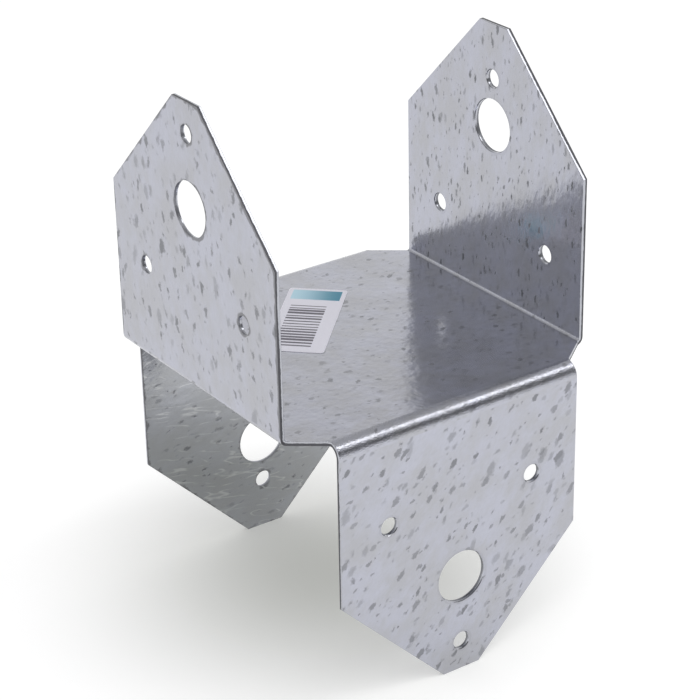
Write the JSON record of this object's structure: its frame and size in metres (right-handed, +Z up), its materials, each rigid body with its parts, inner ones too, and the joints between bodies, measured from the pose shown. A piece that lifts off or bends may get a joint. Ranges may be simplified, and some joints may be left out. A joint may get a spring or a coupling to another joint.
{
  "type": "column cap",
  "caption": "Folded galvanised sheet-steel cap that ties a beam to a column: a square plate with flanges folded up beside the beam and down beside the column, punched for nails and bolts.",
  "frame": {"origin": "centre of the plate's underside, where the column's end bears", "axes": "+Z up to the beam, +X across the beam along the beam bolt, Y along the beam"},
  "size_m": [0.093, 0.093, 0.1512],
  "materials": {
    "galvanised_sheet": "satin",
    "label_paper": "matte"
  },
  "bodies": {
    "root": {"folded_cap": "galvanised_sheet"}
  },
  "joints": []
}
